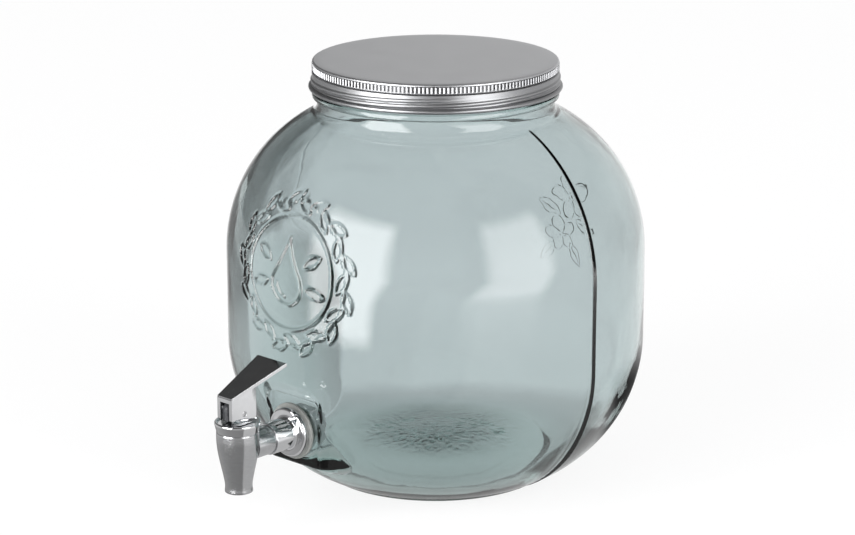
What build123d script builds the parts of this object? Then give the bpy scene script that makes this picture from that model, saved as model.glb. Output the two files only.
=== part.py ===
from build123d import *

import os
from math import acos, asin, atan2, cos, degrees, hypot, radians, sin, sqrt

# Glass jar, a body of revolution: heel arc, straight wall, shoulder arc and neck
body_diameter = 250
base_ring_diameter = 136
heel_radius = 91
shoulder_radius = 93
neck_diameter = 140
neck_height = 26.6
rim_height = 247.9
wall = 4.5
neck_wall = 5
floor_thickness = 9
floor_corner_radius = 14
base_ring_width = 20
push_up_rise = 3
neck_fillet = 6
rim_rounding = 1.5
neck_ring_stand = 2.7
neck_ring_height = 3.4
neck_ring_drop = 1
neck_ring_rounding = 0.7

# Flat pad for the tap, moulded into the heel of the jar
pad_width = 42
pad_height = 41
pad_rise = 1.5
pad_inset = 5.5
pad_glass = 6
pad_block_depth = 26
pad_corner_radius = 4
pad_bore_play = 0.5

# Screw thread of the neck and the lid, with several starts
thread_starts = 3
thread_pitch = 3
thread_bead_radius = 1.2
thread_bead_stand = 1.8
thread_bead_start = 3.6
thread_bead_rise = 4.1

# Lid of sheet metal and its liner
lid_height = 17
lid_sheet = 0.6
lid_edge_rounding = 1.2
knurl_inset = 0.2
knurl_drop = 1.5
knurl_height = 3.8
knurl_flutes = 192
knurl_depth = 0.4
knurl_cutter_radius = 0.9
waist_inset = 1.3
waist_height = 1
rib_band_wall = 1.55
rib_radius = 1.9
rib_stand = 0.65
rib_bite = 0.15
rib_start = 2.6
rib_rise = 5.4
groove_radius = 1.35
groove_play = 0.6
groove_bite = 0.3
groove_start = 0.8
groove_rise = 7.7
lid_bead_stand = 1.9
lid_bead_height = 2.5
lid_hem_stand = 0.4
lid_hem_play = 0.5
lid_hem_height = 3.4
lid_hem_bore_height = 2.2
liner_thickness = 1.5
liner_play = 0.4

# Tap: shank through the glass, arm, upright barrel and spout
tap_height = 51
shank_diameter = 16
tail_length = 14
passage_bore = 9
outer_washer_diameter = 33
outer_washer_thickness = 2
inner_washer_diameter = 26
inner_washer_thickness = 2
washer_play = 0.2
flange_diameter = 29
flange_thickness = 4
flange_rounding = 1.4
sleeve_diameter = 18.5
sleeve_length = 15.5
nut_across_flats = 24
nut_thickness = 8
nut_chamfer = 0.8
nut_play = 0.05
stub_diameter = 17
stub_length = 22
spigot_diameter = 13.8
spigot_length = 7
spigot_play = 0.1
o_ring_wire = 1.3
o_ring_play = 0.05
o_ring_share = 0.5
spout_drop = 25
spout_mouth_diameter = 16.1
spout_waist_rise = 5
spout_waist_diameter = 15.1
barrel_belly_drop = 5
barrel_belly_diameter = 21.7
barrel_rise = 10.8
barrel_top_diameter = 24.4
outlet_bore = 10
outlet_mouth_bore = 11.5
outlet_flare_height = 4
seat_drop = 11.5
seat_cone_height = 2.5
chamber_bore = 15.6
bonnet_thread_bore = 20.2
bonnet_thread_depth = 5.5

# Bonnet on top of the barrel
bonnet_thread_play = 0.1
bonnet_diameter = 26.2
bonnet_flare_height = 5
bonnet_rim_height = 1.2
bonnet_rim_rounding = 0.6
dish_diameter = 23.4
dish_depth = 1.2
bonnet_plate = 2.6
spring_chamber_bore = 14

# Valve inside the barrel
cup_rim_thickness = 1.5
cup_rim_play = 0.2
cup_diameter = 12.4
cup_wall = 1.2
cup_floor = 2.5
cup_foot_diameter = 10.4
seat_gap = 0.2
stem_diameter = 6.8
stem_play = 0.05
stem_foot_diameter = 9.4
stem_foot_thickness = 2
spring_wire = 0.8
spring_mean_diameter = 8.4
spring_turns = 8
spring_end_gap = 0.05

# Lever, a fork on the stem with a cam on its front lower edge
lever_angle = 70
cam_radius = 8
valve_lift = 4
cam_gap = 0.3
lever_width = 12
lever_front = 9.6
lever_back = 9
lever_heel_radius = 4
paddle_front_rise = 16
paddle_back_rise = 29.7
paddle_back = 27.4
paddle_front_width = 11.6
paddle_back_width = 23.4
paddle_thickness = 2
slot_play = 0.2
slot_back_gap = 0.3
slot_top_web = 3.3
pin_diameter = 3
pin_hole_play = 0.05
pin_press_play = 0.01

# One overrun serves all cuts
overrun = 5

# Places that several pieces share
body_radius = body_diameter / 2
base_ring_radius = base_ring_diameter / 2
heel_centre = body_radius - heel_radius
heel_height = sqrt(heel_radius**2 - (base_ring_radius - heel_centre) ** 2)
shoulder_centre = body_radius - shoulder_radius
neck_radius = neck_diameter / 2
neck_level = rim_height - neck_height
shoulder_height = neck_level - sqrt(shoulder_radius**2 - (neck_radius - shoulder_centre) ** 2)
neck_bore_radius = neck_radius - neck_wall
lid_top = rim_height + liner_thickness + lid_sheet
lid_edge = lid_top - lid_height
thread_lead = thread_starts * thread_pitch
thread_bead_reach = neck_radius + thread_bead_stand
groove_reach = thread_bead_reach + groove_play
rib_band_radius = groove_reach - groove_radius + rib_band_wall
rib_reach = rib_band_radius + rib_stand
pad_face_reach = body_radius - pad_inset
pad_back_reach = pad_face_reach - pad_glass
flange_seat = pad_face_reach + outer_washer_thickness
sleeve_start = flange_seat + flange_thickness
arm_seam = sleeve_start + sleeve_length
barrel_reach = arm_seam + stub_length
nut_seat = pad_back_reach - inner_washer_thickness
tail_end = nut_seat - tail_length + inner_washer_thickness
pad_centre_height = tap_height + pad_rise
spout_mouth_height = tap_height - spout_drop
seat_height = tap_height - seat_drop
barrel_top_height = tap_height + barrel_rise
ledge_height = barrel_top_height - bonnet_thread_depth
bonnet_shoulder_height = barrel_top_height + bonnet_flare_height
bonnet_top_height = bonnet_shoulder_height + bonnet_rim_height
dish_height = bonnet_top_height - dish_depth
bonnet_underside = dish_height - bonnet_plate
skirt_end = ledge_height + cup_rim_thickness
cup_bore = cup_diameter - 2 * cup_wall
cam_offset = valve_lift / (2 * sin(radians(lever_angle / 2)))
cam_drop = cam_radius - valve_lift / 2
pin_height = dish_height + cam_drop + cam_gap
paddle_run = lever_front + paddle_back
barrel_axis = Axis((0, -barrel_reach, 0), (0, 0, 1))
shank_axis = Axis((0, 0, tap_height), (0, -1, 0))
barrel_plane = Plane((0, -barrel_reach, 0), x_dir=(1, 0, 0), z_dir=(0, -1, 0))
shank_plane = Plane((0, 0, tap_height), x_dir=(0, -1, 0), z_dir=(1, 0, 0))
pin_plane = Plane((0, -barrel_reach, pin_height), x_dir=(0, 1, 0), z_dir=(1, 0, 0))


def facing_out(reach, height):
    """Upright plane at a distance in front of the jar's axis, facing out of the tap side."""
    return Plane((0, -reach, height), x_dir=(1, 0, 0), z_dir=(0, -1, 0))


def thread_places(start):
    """Places on the common helix of the neck and lid, one for each start of the thread."""
    height = lid_edge + start
    turn = 360 * start / thread_lead
    return [Location((0, 0, height), (0, 0, turn + 360 * k / thread_starts)) for k in range(thread_starts)]


def seat_level(radius):
    """Height of the valve seat's cone at a radius from the barrel's axis."""
    slope = seat_cone_height / ((chamber_bore - outlet_bore) / 2)
    return seat_height + (radius - outlet_bore / 2) * slope


def paddle_level(along):
    """Height of the paddle's top above the pin, at a distance behind the barrel's axis."""
    slope = (paddle_back_rise - paddle_front_rise) / paddle_run
    front_level = bonnet_top_height + paddle_front_rise - pin_height
    return front_level + (along + lever_front) * slope


# Inside of the jar: the vessel's hollow, kept flat behind the pad
inner_heel = heel_radius - wall
inner_shoulder = shoulder_radius - wall
floor_angle = degrees(asin((heel_height - floor_thickness) / inner_heel))
floor_radius = heel_centre + inner_heel * cos(radians(floor_angle))
mouth_angle = degrees(acos((neck_bore_radius - shoulder_centre) / inner_shoulder))
mouth_level = shoulder_height + inner_shoulder * sin(radians(mouth_angle))
hollow_top = rim_height + overrun
with BuildPart() as jar_hollow:
    with BuildSketch(Plane.XZ) as hollow_profile:
        with BuildLine():
            Line((0, floor_thickness), (floor_radius, floor_thickness))
            CenterArc((heel_centre, heel_height), inner_heel, -floor_angle, floor_angle)
            Line((body_radius - wall, heel_height), (body_radius - wall, shoulder_height))
            CenterArc((shoulder_centre, shoulder_height), inner_shoulder, 0, mouth_angle)
            Polyline(
                (neck_bore_radius, mouth_level),
                (neck_bore_radius, hollow_top),
                (0, hollow_top),
                (0, floor_thickness),
            )
        make_face()
        corner = hollow_profile.vertices().sort_by_distance((floor_radius, floor_thickness))[0]
        fillet(corner, floor_corner_radius)
        corner = hollow_profile.vertices().sort_by_distance((neck_bore_radius, mouth_level))[0]
        fillet(corner, neck_fillet)
    revolve(axis=Axis.Z)
    with BuildSketch(facing_out(pad_back_reach, pad_centre_height)):
        RectangleRounded(pad_width + 2 * wall, pad_height + 2 * wall, pad_corner_radius + wall)
    extrude(amount=pad_block_depth, mode=Mode.SUBTRACT)
    with BuildSketch(facing_out(pad_back_reach, pad_centre_height)):
        RectangleRounded(pad_width - 2 * wall, pad_height - 2 * wall, pad_corner_radius)
    extrude(amount=-pad_block_depth)

# One bead of the neck's thread, which the thread's starts repeat
with BuildPart() as thread_bead:
    with BuildLine() as bead_path:
        Helix(thread_lead, thread_bead_rise, thread_bead_reach - thread_bead_radius)
    with BuildSketch(Plane(bead_path.line @ 0, z_dir=bead_path.line % 0)):
        Circle(thread_bead_radius)
    sweep(path=bead_path.line, is_frenet=True)

# Glass jar: vessel, pad, bore for the shank and thread
heel_angle = degrees(asin(heel_height / heel_radius))
neck_angle = degrees(acos((neck_radius - shoulder_centre) / shoulder_radius))
push_up_radius = base_ring_radius - base_ring_width
neck_ring_radius = neck_radius + neck_ring_stand
neck_ring_top = lid_edge - neck_ring_drop
neck_ring_base = neck_ring_top - neck_ring_height
with BuildPart() as glass_jar:
    with BuildSketch(Plane.XZ) as jar_profile:
        with BuildLine():
            TangentArc((0, push_up_rise), (push_up_radius, 0), tangent=(1, 0))
            Line((push_up_radius, 0), (base_ring_radius, 0))
            CenterArc((heel_centre, heel_height), heel_radius, -heel_angle, heel_angle)
            Line((body_radius, heel_height), (body_radius, shoulder_height))
            CenterArc((shoulder_centre, shoulder_height), shoulder_radius, 0, neck_angle)
            Polyline(
                (neck_radius, neck_level),
                (neck_radius, neck_ring_base),
                (neck_ring_radius, neck_ring_base),
                (neck_ring_radius, neck_ring_top),
                (neck_radius, neck_ring_top),
                (neck_radius, rim_height),
                (0, rim_height),
                (0, push_up_rise),
            )
        make_face()
        corner = jar_profile.vertices().sort_by_distance((neck_radius, neck_level))[0]
        fillet(corner, neck_fillet)
        for level in (neck_ring_base, neck_ring_top):
            corner = jar_profile.vertices().sort_by_distance((neck_ring_radius, level))[0]
            fillet(corner, neck_ring_rounding)
    revolve(axis=Axis.Z)
    with BuildSketch(facing_out(pad_face_reach, pad_centre_height)) as pad_outline:
        RectangleRounded(pad_width, pad_height, pad_corner_radius)
    extrude(amount=-pad_block_depth)
    extrude(pad_outline.sketch, amount=body_radius - pad_face_reach + overrun, mode=Mode.SUBTRACT)
    add(jar_hollow.part, mode=Mode.SUBTRACT)
    with BuildSketch(facing_out(pad_face_reach, tap_height)):
        Circle(shank_diameter / 2 + pad_bore_play)
    extrude(amount=-pad_block_depth, mode=Mode.SUBTRACT)
    fillet(glass_jar.edges().filter_by(GeomType.CIRCLE).group_by(Axis.Z)[-1], rim_rounding)
    with Locations(*thread_places(thread_bead_start)):
        add(thread_bead.part)

# One rolled rib of the lid, as it stands out of the band, and the groove inside it
rib_root = rib_radius - rib_stand - rib_bite
with BuildPart() as lid_rib:
    with BuildLine() as rib_path:
        Helix(thread_lead, rib_rise, rib_reach - rib_radius)
    with BuildSketch(Plane(rib_path.line @ 0, x_dir=(1, 0, 0), z_dir=rib_path.line % 0)):
        Circle(rib_radius)
        with Locations((rib_root + rib_radius, 0)):
            Rectangle(2 * rib_radius, 2 * rib_radius, mode=Mode.INTERSECT)
    sweep(path=rib_path.line, is_frenet=True)
with BuildPart() as lid_groove:
    with BuildLine() as groove_path:
        Helix(thread_lead, groove_rise, groove_reach - groove_radius)
    with BuildSketch(Plane(groove_path.line @ 0, x_dir=(1, 0, 0), z_dir=groove_path.line % 0)):
        Circle(groove_radius)
        with Locations((groove_radius - groove_bite, 0)):
            Rectangle(2 * groove_radius, 2 * groove_radius, mode=Mode.INTERSECT)
    sweep(path=groove_path.line, is_frenet=True)

# Lid: turned profile, knurled band, rolled ribs outside and grooves inside
lid_radius = rib_band_radius - knurl_inset
waist_radius = rib_band_radius - waist_inset
lid_bead_radius = rib_band_radius + lid_bead_stand
lid_hem_radius = rib_band_radius + lid_hem_stand
lid_hem_bore_radius = groove_reach + lid_hem_play
knurl_top = lid_top - knurl_drop
knurl_base = knurl_top - knurl_height
waist_base = knurl_base - waist_height
liner_radius = waist_radius - lid_sheet - liner_play
with BuildPart() as lid_shell:
    with BuildSketch(Plane.XZ) as lid_profile:
        with BuildLine():
            Polyline(
                (0, lid_edge),
                (0, lid_top),
                (lid_radius, lid_top),
                (lid_radius, knurl_base),
                (waist_radius, knurl_base - waist_height / 2),
                (rib_band_radius, waist_base),
                (rib_band_radius, lid_edge + lid_hem_height),
            )
            ThreePointArc(
                (rib_band_radius, lid_edge + lid_hem_height),
                (lid_bead_radius, lid_edge + lid_bead_height),
                (lid_hem_radius, lid_edge),
            )
            Line((lid_hem_radius, lid_edge), (0, lid_edge))
        make_face()
        fillet(lid_profile.vertices().sort_by_distance((lid_radius, lid_top))[0], lid_edge_rounding)
    revolve(axis=Axis.Z)
    with BuildSketch(Plane.XY.offset(knurl_base)):
        with PolarLocations(lid_radius + knurl_cutter_radius - knurl_depth, knurl_flutes):
            Circle(knurl_cutter_radius)
    extrude(amount=knurl_height, mode=Mode.SUBTRACT)
    with BuildSketch(Plane.XZ):
        with BuildLine():
            Polyline(
                (0, lid_edge - overrun),
                (0, lid_top - lid_sheet),
                (waist_radius - lid_sheet, lid_top - lid_sheet),
                (waist_radius - lid_sheet, waist_base),
                (groove_reach - groove_radius, waist_base),
                (groove_reach - groove_radius, lid_edge + lid_hem_bore_height),
                (lid_hem_bore_radius, lid_edge + lid_hem_bore_height),
                (lid_hem_bore_radius, lid_edge - overrun),
                close=True,
            )
        make_face()
    revolve(axis=Axis.Z, mode=Mode.SUBTRACT)
    for place in thread_places(groove_start):
        with Locations(place):
            add(lid_groove.part, mode=Mode.SUBTRACT)
    for place in thread_places(rib_start):
        with Locations(place):
            add(lid_rib.part)

# Liner: a soft disc between the lid and the glass rim
with BuildPart() as lid_liner:
    with BuildSketch(Plane.XY.offset(rim_height)):
        Circle(liner_radius)
    extrude(amount=liner_thickness)

# Washers outside and inside the glass
with BuildPart() as outer_washer:
    with BuildSketch(facing_out(pad_face_reach, tap_height)):
        Circle(outer_washer_diameter / 2)
        Circle(shank_diameter / 2 + washer_play, mode=Mode.SUBTRACT)
    extrude(amount=outer_washer_thickness)
with BuildPart() as inner_washer:
    with BuildSketch(facing_out(pad_back_reach, tap_height)):
        Circle(inner_washer_diameter / 2)
        Circle(shank_diameter / 2 + washer_play, mode=Mode.SUBTRACT)
    extrude(amount=-inner_washer_thickness)

# Nut on the tail of the shank, inside the jar
with BuildPart() as shank_nut:
    with BuildSketch(facing_out(nut_seat, tap_height)):
        RegularPolygon(nut_across_flats / 2, side_count=6, major_radius=False)
        Circle(shank_diameter / 2 + nut_play, mode=Mode.SUBTRACT)
    extrude(amount=-nut_thickness)
    inner_face = shank_nut.faces().sort_by(Axis.Y)[-1]
    chamfer(inner_face.outer_wire().edges(), nut_chamfer)

# Shank: tail through the glass, flange, sleeve and the spigot that enters the arm
spigot_end = arm_seam + spigot_length
spigot_radius = spigot_diameter / 2
o_ring_centre = spigot_radius + spigot_play - o_ring_play - o_ring_wire / 2
o_ring_place = arm_seam + spigot_length * o_ring_share
o_ring_groove = o_ring_wire / 2 + o_ring_play
with BuildPart() as shank_tube:
    with BuildSketch(shank_plane) as shank_profile:
        with BuildLine():
            Polyline(
                (tail_end, passage_bore / 2),
                (tail_end, shank_diameter / 2),
                (flange_seat, shank_diameter / 2),
                (flange_seat, flange_diameter / 2),
                (sleeve_start, flange_diameter / 2),
                (sleeve_start, sleeve_diameter / 2),
                (arm_seam, sleeve_diameter / 2),
                (arm_seam, spigot_radius),
                (o_ring_place - o_ring_groove, spigot_radius),
                (o_ring_place - o_ring_groove, o_ring_centre - o_ring_groove),
                (o_ring_place + o_ring_groove, o_ring_centre - o_ring_groove),
                (o_ring_place + o_ring_groove, spigot_radius),
                (spigot_end, spigot_radius),
                (spigot_end, passage_bore / 2),
                close=True,
            )
        make_face()
        rim = shank_profile.vertices().sort_by_distance((sleeve_start, flange_diameter / 2))[0]
        fillet(rim, flange_rounding)
    revolve(axis=shank_axis)

# Ring that seals the spigot in the arm
with BuildPart() as arm_o_ring:
    with BuildSketch(shank_plane):
        with Locations((o_ring_place, o_ring_centre)):
            Circle(o_ring_wire / 2)
    revolve(axis=shank_axis)

# Barrel with its spout, arm stub, valve chamber and seat
with BuildPart() as spout_body:
    with BuildSketch(barrel_plane):
        with BuildLine():
            Spline(
                (spout_mouth_diameter / 2, spout_mouth_height),
                (spout_waist_diameter / 2, spout_mouth_height + spout_waist_rise),
                (barrel_belly_diameter / 2, tap_height - barrel_belly_drop),
                (barrel_top_diameter / 2, barrel_top_height),
                tangents=((0, 1), (0, 1)),
            )
            Polyline(
                (barrel_top_diameter / 2, barrel_top_height),
                (0, barrel_top_height),
                (0, spout_mouth_height),
                (spout_mouth_diameter / 2, spout_mouth_height),
            )
        make_face()
    revolve(axis=barrel_axis)
    with BuildSketch(facing_out(arm_seam, tap_height)):
        Circle(stub_diameter / 2)
    extrude(amount=barrel_reach - arm_seam)
    with BuildSketch(barrel_plane):
        with BuildLine():
            Polyline(
                (0, spout_mouth_height - overrun),
                (outlet_mouth_bore / 2, spout_mouth_height - overrun),
                (outlet_mouth_bore / 2, spout_mouth_height),
                (outlet_bore / 2, spout_mouth_height + outlet_flare_height),
                (outlet_bore / 2, seat_height),
                (chamber_bore / 2, seat_height + seat_cone_height),
                (chamber_bore / 2, ledge_height),
                (bonnet_thread_bore / 2, ledge_height),
                (bonnet_thread_bore / 2, barrel_top_height + overrun),
                (0, barrel_top_height + overrun),
                close=True,
            )
        make_face()
    revolve(axis=barrel_axis, mode=Mode.SUBTRACT)
    with BuildSketch(facing_out(arm_seam, tap_height)):
        Circle(spigot_radius + spigot_play)
    extrude(amount=spigot_length + spigot_play, mode=Mode.SUBTRACT)
    with BuildSketch(facing_out(arm_seam, tap_height)):
        Circle(passage_bore / 2)
    extrude(amount=barrel_reach - arm_seam, mode=Mode.SUBTRACT)

# Bonnet: collar with a dish on top, guide of the stem, and the skirt that clamps the cup
bonnet_skirt_radius = bonnet_thread_bore / 2 - bonnet_thread_play
with BuildPart() as bonnet:
    with BuildSketch(barrel_plane) as bonnet_profile:
        with BuildLine():
            Polyline(
                (stem_diameter / 2 + stem_play, bonnet_underside),
                (spring_chamber_bore / 2, bonnet_underside),
                (spring_chamber_bore / 2, skirt_end),
                (bonnet_skirt_radius, skirt_end),
                (bonnet_skirt_radius, barrel_top_height),
                (barrel_top_diameter / 2, barrel_top_height),
                (bonnet_diameter / 2, bonnet_shoulder_height),
                (bonnet_diameter / 2, bonnet_top_height),
                (dish_diameter / 2, bonnet_top_height),
                (dish_diameter / 2, dish_height),
                (stem_diameter / 2 + stem_play, dish_height),
                close=True,
            )
        make_face()
        for rim_radius in (bonnet_diameter / 2, dish_diameter / 2):
            rim = bonnet_profile.vertices().sort_by_distance((rim_radius, bonnet_top_height))[0]
            fillet(rim, bonnet_rim_rounding)
    revolve(axis=barrel_axis)

# Silicone cup: rim clamped under the bonnet, thin wall, and the foot that closes the seat
cup_radius = cup_diameter / 2
cup_foot_radius = cup_foot_diameter / 2
cup_base = seat_level(cup_foot_radius) + seat_gap
stem_base = cup_base + cup_floor
with BuildPart() as seat_cup:
    with BuildSketch(barrel_plane):
        with BuildLine():
            Polyline(
                (0, cup_base),
                (cup_foot_radius, cup_base),
                (cup_radius, seat_level(cup_radius) + seat_gap),
                (cup_radius, ledge_height),
                (bonnet_thread_bore / 2 - cup_rim_play, ledge_height),
                (bonnet_thread_bore / 2 - cup_rim_play, skirt_end),
                (cup_bore / 2, skirt_end),
                (cup_bore / 2, stem_base),
                (0, stem_base),
                close=True,
            )
        make_face()
    revolve(axis=barrel_axis)

# Stem: foot in the cup, shaft through the bonnet, and a rounded eye for the pin
with BuildPart() as stem:
    with BuildSketch(Plane((0, -barrel_reach, stem_base))):
        Circle(stem_foot_diameter / 2)
    extrude(amount=stem_foot_thickness)
    with BuildSketch(Plane((0, -barrel_reach, stem_base))):
        Circle(stem_diameter / 2)
    extrude(amount=pin_height - stem_base)
    with Locations((0, -barrel_reach, pin_height)):
        Sphere(stem_diameter / 2)
    with BuildSketch(pin_plane):
        Circle(pin_diameter / 2 + pin_hole_play)
    extrude(amount=stem_diameter, both=True, mode=Mode.SUBTRACT)

# Spring round the stem, between its foot and the bonnet
spring_base = stem_base + stem_foot_thickness + spring_end_gap + spring_wire / 2
spring_length = bonnet_underside - spring_end_gap - spring_wire / 2 - spring_base
with BuildPart() as spring:
    with BuildLine() as spring_path:
        Helix(
            spring_length / spring_turns,
            spring_length,
            spring_mean_diameter / 2,
            center=(0, -barrel_reach, spring_base),
        )
    with BuildSketch(Plane(spring_path.line @ 0, z_dir=spring_path.line % 0)):
        Circle(spring_wire / 2)
    sweep(path=spring_path.line, is_frenet=True)

# Lever: shank with a cam edge, sloping paddle, slot for the stem and pin hole
cam_angle = radians(lever_angle / 2)
cam_centre = (-cam_offset * cos(cam_angle), cam_offset * sin(cam_angle))
front_run = lever_front + cam_centre[0]
cam_sweep = degrees(asin(front_run / cam_radius))
cam_front_level = cam_centre[1] - sqrt(cam_radius**2 - front_run**2)
heel_place = lever_back - lever_heel_radius
paddle_rise = paddle_back_rise - paddle_front_rise
paddle_length = hypot(paddle_run, paddle_rise)
paddle_tilt = atan2(paddle_rise, paddle_run)
paddle_plane = Plane(
    (0, -barrel_reach - lever_front, bonnet_top_height + paddle_front_rise),
    x_dir=(1, 0, 0),
    z_dir=(0, -sin(paddle_tilt), cos(paddle_tilt)),
)
slot_width = stem_diameter + 2 * slot_play
slot_back = stem_diameter / 2 + slot_back_gap
slot_top = paddle_level(-lever_front) - slot_top_web
with BuildPart() as lever:
    with BuildSketch(pin_plane):
        with BuildLine():
            Line((heel_place, -cam_drop), (cam_centre[0], -cam_drop))
            CenterArc(cam_centre, cam_radius, -90, -cam_sweep)
            Polyline(
                (-lever_front, cam_front_level),
                (-lever_front, paddle_level(-lever_front) - paddle_thickness / 2),
                (lever_back, paddle_level(lever_back) - paddle_thickness / 2),
                (lever_back, lever_heel_radius - cam_drop),
            )
            CenterArc((heel_place, lever_heel_radius - cam_drop), lever_heel_radius, -90, 90)
        make_face()
    extrude(amount=lever_width / 2, both=True)
    with BuildSketch(paddle_plane):
        with BuildLine():
            Polyline(
                (-paddle_front_width / 2, 0),
                (paddle_front_width / 2, 0),
                (paddle_back_width / 2, paddle_length),
                (-paddle_back_width / 2, paddle_length),
                close=True,
            )
        make_face()
    extrude(amount=-paddle_thickness)
    with BuildSketch(pin_plane):
        with BuildLine():
            Polyline(
                (-lever_front - overrun, -cam_drop - overrun),
                (slot_back, -cam_drop - overrun),
                (slot_back, slot_top),
                (-lever_front - overrun, slot_top),
                close=True,
            )
        make_face()
    extrude(amount=slot_width / 2, both=True, mode=Mode.SUBTRACT)
    with BuildSketch(pin_plane):
        Circle(pin_diameter / 2 + pin_press_play)
    extrude(amount=lever_width, both=True, mode=Mode.SUBTRACT)

# Pin that carries the lever in the eye of the stem
with BuildPart() as lever_pin:
    with BuildSketch(pin_plane):
        Circle(pin_diameter / 2)
    extrude(amount=lever_width / 2, both=True)

pieces = {
    "glass_jar": glass_jar,
    "lid_shell": lid_shell,
    "lid_liner": lid_liner,
    "outer_washer": outer_washer,
    "inner_washer": inner_washer,
    "shank_nut": shank_nut,
    "shank_tube": shank_tube,
    "arm_o_ring": arm_o_ring,
    "spout_body": spout_body,
    "bonnet": bonnet,
    "seat_cup": seat_cup,
    "stem": stem,
    "spring": spring,
    "lever": lever,
    "lever_pin": lever_pin,
}
os.makedirs("parts", exist_ok=True)
for name, piece in pieces.items():
    piece.part.label = name
    export_step(piece.part, f"parts/{name}.step")
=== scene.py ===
from math import atan2, cos, pi, radians, sin, sqrt

import bmesh
import bpy
import numpy as np
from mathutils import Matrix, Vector, noise


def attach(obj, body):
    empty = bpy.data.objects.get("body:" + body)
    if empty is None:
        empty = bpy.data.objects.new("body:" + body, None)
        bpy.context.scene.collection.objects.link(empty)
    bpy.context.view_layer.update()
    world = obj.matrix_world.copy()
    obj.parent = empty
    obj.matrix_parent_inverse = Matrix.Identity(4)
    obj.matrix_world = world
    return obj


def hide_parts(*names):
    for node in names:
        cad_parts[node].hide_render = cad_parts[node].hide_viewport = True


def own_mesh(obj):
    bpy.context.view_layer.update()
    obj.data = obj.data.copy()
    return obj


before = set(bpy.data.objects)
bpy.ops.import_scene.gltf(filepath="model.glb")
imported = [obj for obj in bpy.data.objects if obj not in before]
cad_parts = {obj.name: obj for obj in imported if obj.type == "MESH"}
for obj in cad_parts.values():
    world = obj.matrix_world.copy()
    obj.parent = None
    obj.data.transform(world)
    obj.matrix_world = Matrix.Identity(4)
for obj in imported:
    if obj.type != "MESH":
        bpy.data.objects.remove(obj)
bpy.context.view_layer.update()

# Studio: a white floor in a white room, seen through a long lens from a little above the lid. A tall
# soft lamp stands on each side. What the glass and the chrome see of the room is darker above, on the
# left and behind the camera.
scene = bpy.context.scene
scene.view_settings.view_transform = "Standard"
view_turn = radians(43)
camera_away = 1.6
camera_data = bpy.data.cameras.new("camera")
camera_data.lens = 117.47
camera_data.sensor_width = 36
camera_data.shift_x = -0.0094
camera = bpy.data.objects.new("camera", camera_data)
camera.location = (1.0912, -1.1702, 0.585)
camera.rotation_euler = (radians(73.89), 0, view_turn)
scene.collection.objects.link(camera)
scene.camera = camera
to_camera = Vector((sin(view_turn), -cos(view_turn), 0))
to_right = Vector((cos(view_turn), sin(view_turn), 0))


def add_node(tree, kind, inputs=None, **settings):
    """A node in a tree. Each input takes a value, or the socket that feeds it."""
    made = tree.nodes.new(kind)
    for name, value in settings.items():
        setattr(made, name, value)
    for key, value in (inputs or {}).items():
        if isinstance(value, bpy.types.NodeSocket):
            tree.links.new(value, made.inputs[key])
        else:
            made.inputs[key].default_value = value
    return made


def grey(level):
    """A neutral colour of that level."""
    return (level, level, level, 1)


def ramp(tree, factor, stops):
    """A colour ramp with stops of (place, colour)."""
    made = add_node(tree, "ShaderNodeValToRGB", {"Fac": factor})
    points = made.color_ramp.elements
    while len(points) < len(stops):
        points.new(0.5)
    for point, (place, colour) in zip(points, stops):
        point.position = place
        point.color = colour
    return made.outputs["Color"]


def mix(tree, factor, first, second):
    """One colour turning into another by a factor."""
    made = add_node(tree, "ShaderNodeMix", {0: factor, 6: first, 7: second}, data_type="RGBA")
    return made.outputs[2]


def along(tree, vector, way):
    """How far a vector reaches along a fixed way."""
    made = add_node(tree, "ShaderNodeVectorMath", {0: vector, 1: tuple(way)}, operation="DOT_PRODUCT")
    return made.outputs["Value"]


def length_of(tree, vector):
    """How long a vector is."""
    return add_node(tree, "ShaderNodeVectorMath", {0: vector}, operation="LENGTH").outputs["Value"]


def added(tree, first, second):
    """Two vectors or colours added."""
    return add_node(tree, "ShaderNodeVectorMath", {0: first, 1: second}, operation="ADD").outputs[0]


def scaled(tree, colour, factor):
    """A colour times a factor."""
    return add_node(tree, "ShaderNodeVectorMath", {0: colour, 1: factor}, operation="MULTIPLY").outputs[0]


def ranged(tree, value, low, high, first, last):
    """A value carried smoothly from one range into another."""
    places = {"Value": value, "From Min": low, "From Max": high, "To Min": first, "To Max": last}
    return add_node(tree, "ShaderNodeMapRange", places, interpolation_type="SMOOTHSTEP").outputs[0]


def sums(tree, how, first, second):
    """One plain sum of two values."""
    return add_node(tree, "ShaderNodeMath", {0: first, 1: second}, operation=how).outputs[0]


def product(tree, *values):
    """Values multiplied together."""
    made = values[0]
    for value in values[1:]:
        made = sums(tree, "MULTIPLY", made, value)
    return made


def rest_of(tree, value):
    """What a value leaves of 1."""
    return sums(tree, "SUBTRACT", 1.0, value)


def band(tree, value, low, high, soft):
    """1 between two values and 0 outside them, with soft ends."""
    inside = ranged(tree, value, low - soft, low + soft, 0.0, 1.0)
    return product(tree, inside, ranged(tree, value, high - soft, high + soft, 1.0, 0.0))


def around(tree, vector, stops):
    """Levels by the way round a point, as (degrees right of the camera, level)."""
    turn = sums(tree, "ARCTAN2", along(tree, vector, to_right), along(tree, vector, to_camera))
    dial = sums(tree, "ADD", sums(tree, "DIVIDE", turn, 2 * pi), 0.5)
    return turn, ramp(tree, dial, [((angle + 180) / 360, grey(level)) for angle, level in stops])


def new_material(name):
    """A named material with an empty tree, that tree, and the place that its patterns follow."""
    made = bpy.data.materials.new(name)
    made.use_nodes = True
    made.node_tree.nodes.clear()
    place = add_node(made.node_tree, "ShaderNodeTexCoord").outputs["Object"]
    return made, made.node_tree, place


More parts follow.
